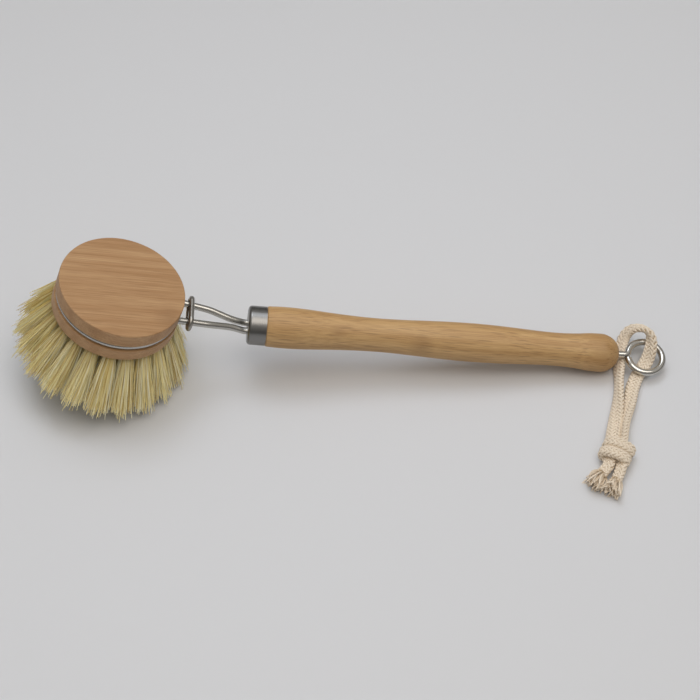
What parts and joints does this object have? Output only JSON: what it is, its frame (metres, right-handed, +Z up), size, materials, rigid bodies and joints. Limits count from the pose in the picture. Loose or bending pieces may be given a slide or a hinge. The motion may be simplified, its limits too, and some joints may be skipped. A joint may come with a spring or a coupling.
{
  "type": "dish brush",
  "caption": "Dish brush: turned bamboo handle, bent wire yoke holding a round replaceable head of plant-fibre tufts, sliding lock ring, and a screw eye with a hanging cord.",
  "frame": {"origin": "on the worktop, under the middle of the brush's bounding box without its cord", "axes": "+X from the brush head to the hanging eye, +Y away from the viewer, +Z up from the worktop"},
  "size_m": [0.2618, 0.1048, 0.0543],
  "materials": {
    "handle_bamboo": "bare turned bamboo",
    "head_bamboo": "bare turned bamboo, a little darker",
    "ferrule_steel": "brushed round its axis",
    "yoke_wire": "polished drawn wire",
    "lock_ring_wire": "dull drawn wire",
    "staple_wire": "flat wire, hidden",
    "eye_nickel": "nickel plated",
    "bristle_fibre": "stiff plant fibre",
    "cord_cotton": "braided natural cotton"
  },
  "bodies": {
    "handle_set": {"handle": "handle_bamboo", "ferrule": "ferrule_steel", "wire_yoke": "yoke_wire", "screw_eye": "eye_nickel", "hang_cord": "cord_cotton", "cord_knot": "cord_cotton", "cord_tail_left": "cord_cotton", "cord_tail_right": "cord_cotton"},
    "lock_ring": {"slider_ring": "lock_ring_wire"},
    "brush_head": {"head_block": "head_bamboo", "tuft_staples": "staple_wire", "tuft_centre": "bristle_fibre", "tuft_inner_01": "bristle_fibre", "tuft_inner_02": "bristle_fibre", "tuft_inner_03": "bristle_fibre", "tuft_inner_04": "bristle_fibre", "tuft_inner_05": "bristle_fibre", "tuft_inner_06": "bristle_fibre", "tuft_inner_07": "bristle_fibre", "tuft_middle_01": "bristle_fibre", "tuft_middle_02": "bristle_fibre", "tuft_middle_03": "bristle_fibre", "tuft_middle_04": "bristle_fibre", "tuft_middle_05": "bristle_fibre", "tuft_middle_06": "bristle_fibre", "tuft_middle_07": "bristle_fibre", "tuft_middle_08": "bristle_fibre", "tuft_middle_09": "bristle_fibre", "tuft_middle_10": "bristle_fibre", "tuft_middle_11": "bristle_fibre", "tuft_middle_12": "bristle_fibre", "tuft_middle_13": "bristle_fibre", "tuft_outer_01": "bristle_fibre", "tuft_outer_02": "bristle_fibre", "tuft_outer_03": "bristle_fibre", "tuft_outer_04": "bristle_fibre", "tuft_outer_05": "bristle_fibre", "tuft_outer_06": "bristle_fibre", "tuft_outer_07": "bristle_fibre", "tuft_outer_08": "bristle_fibre", "tuft_outer_09": "bristle_fibre", "tuft_outer_10": "bristle_fibre", "tuft_outer_11": "bristle_fibre", "tuft_outer_12": "bristle_fibre", "tuft_outer_13": "bristle_fibre", "tuft_outer_14": "bristle_fibre", "tuft_outer_15": "bristle_fibre", "tuft_outer_16": "bristle_fibre", "tuft_outer_17": "bristle_fibre", "tuft_outer_18": "bristle_fibre", "tuft_outer_19": "bristle_fibre", "tuft_outer_20": "bristle_fibre"}
  },
  "joints": [
    {"name": "lock_ring_slide", "type": "slide", "parent": "handle_set", "child": "lock_ring", "axis": [0.9558, 0, -0.294], "range_m": [0, 0.01]},
    {"name": "head_turn", "type": "hinge", "parent": "handle_set", "child": "brush_head", "pos_m": [-0.0877, 0, 0.03971], "axis": [0.294, 0, 0.9558], "continuous": true}
  ]
}
